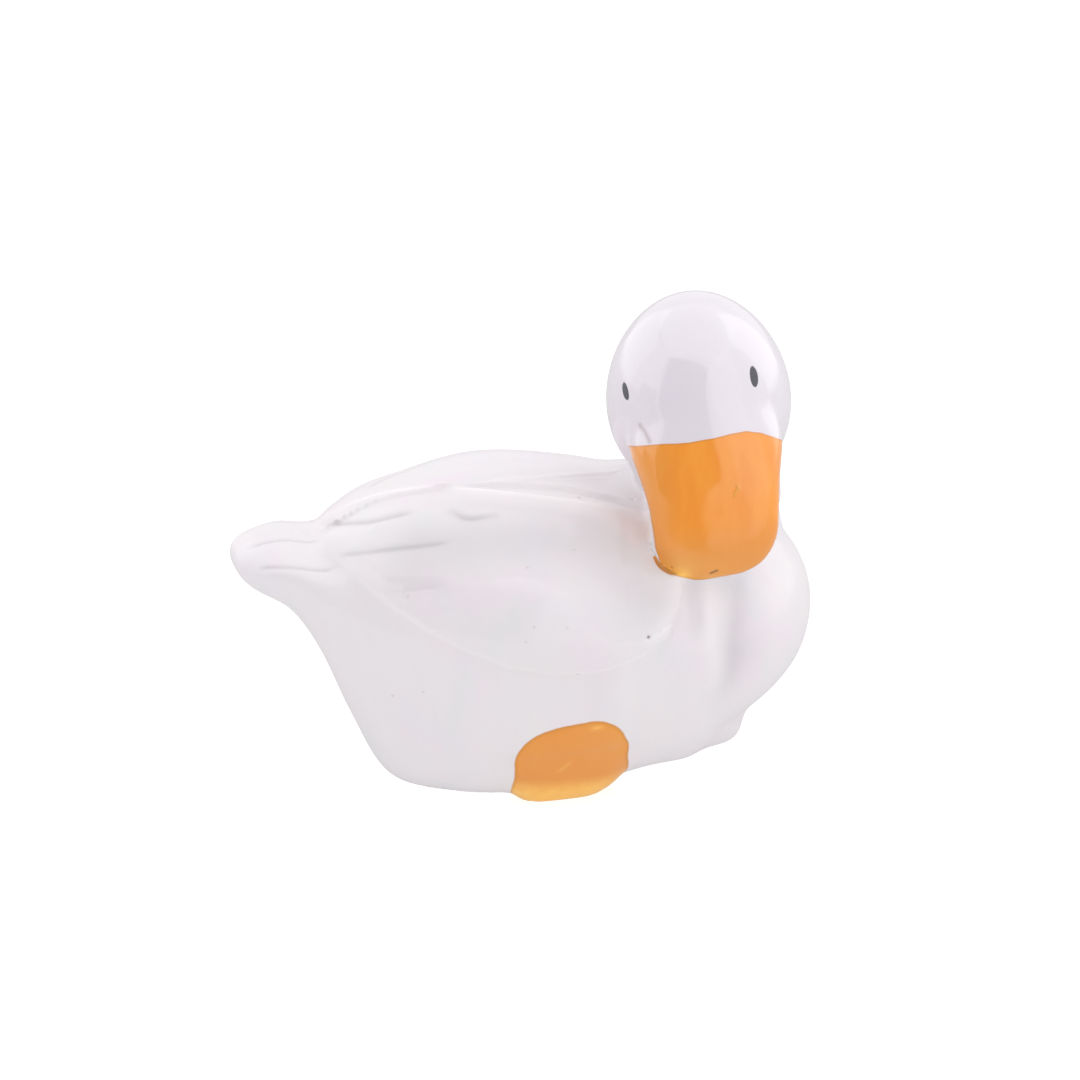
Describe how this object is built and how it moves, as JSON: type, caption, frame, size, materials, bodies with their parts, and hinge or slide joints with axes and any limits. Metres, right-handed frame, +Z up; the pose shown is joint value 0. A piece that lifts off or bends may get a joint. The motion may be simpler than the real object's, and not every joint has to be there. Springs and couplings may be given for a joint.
{
  "type": "garden duck figurine",
  "caption": "Small hand-painted white garden duck, resting with folded wings and its head turned to its right, with an orange bill and feet.",
  "frame": {"origin": "centre of the flat base, on the floor", "axes": "+X towards the breast, +Y towards the duck's own left, +Z up"},
  "size_m": [0.1092, 0.0701, 0.0873],
  "materials": {
    "white_paint": "gloss"
  },
  "bodies": {
    "root": {"duck": "white_paint"}
  },
  "joints": []
}
